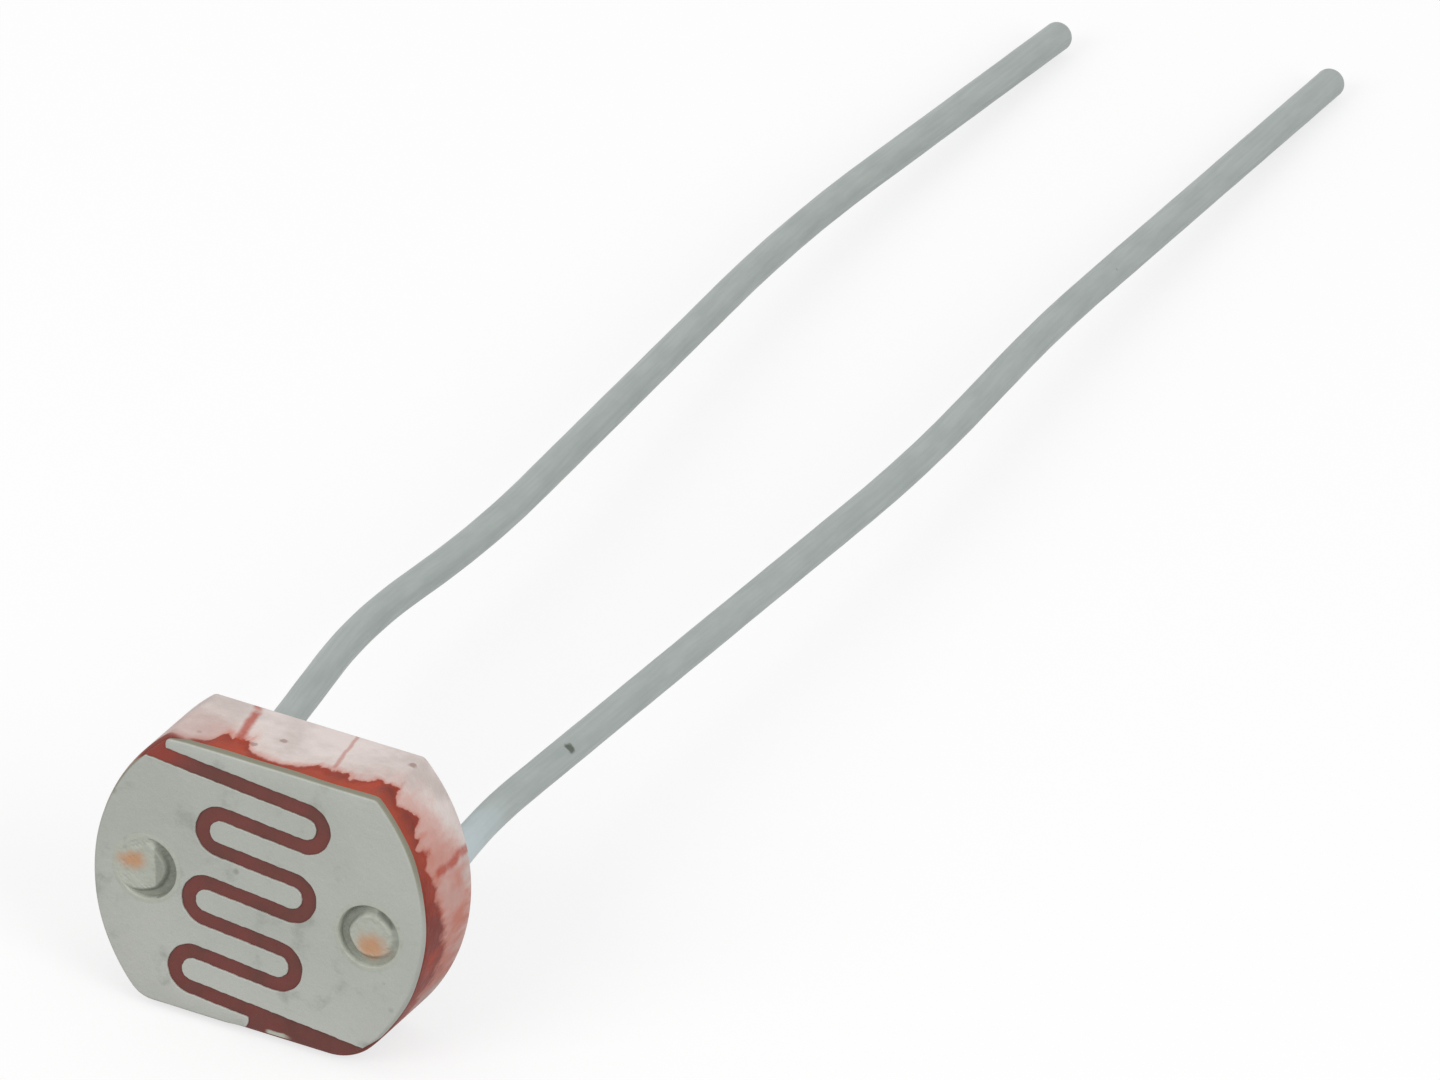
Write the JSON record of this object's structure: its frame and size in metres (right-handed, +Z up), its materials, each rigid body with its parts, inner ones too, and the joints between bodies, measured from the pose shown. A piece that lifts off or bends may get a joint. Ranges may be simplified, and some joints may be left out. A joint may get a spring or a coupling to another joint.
{
  "type": "photoresistor",
  "caption": "Light-dependent resistor: a flat-sided ceramic disc with interleaved metal combs on its face, a winding light-sensitive track between them, and bent wire leads at the back.",
  "frame": {"origin": "On the surface that the part lies on, in the middle of its footprint", "axes": "+Z up; the light-sensitive face looks to -Y and leans back a little; the leads run along +Y; +X is to the right seen from the face"},
  "size_m": [0.0053, 0.0336, 0.0042],
  "materials": {
    "ceramic": "matte, stained red at the front edge",
    "light_sensitive_film": "matte under a thin lacquer",
    "metal_film": "matte silver grey",
    "contact_paste": "grainy grey",
    "tinned_wire": "satin tin",
    "clear_resin": "clear, glossy"
  },
  "bodies": {
    "root": {"ceramic_base": "ceramic", "cds_film": "light_sensitive_film", "electrode_left": "metal_film", "electrode_right": "metal_film", "contact_left": "contact_paste", "contact_right": "contact_paste", "lead_left": "tinned_wire", "lead_right": "tinned_wire", "resin_seal": "clear_resin"}
  },
  "joints": []
}
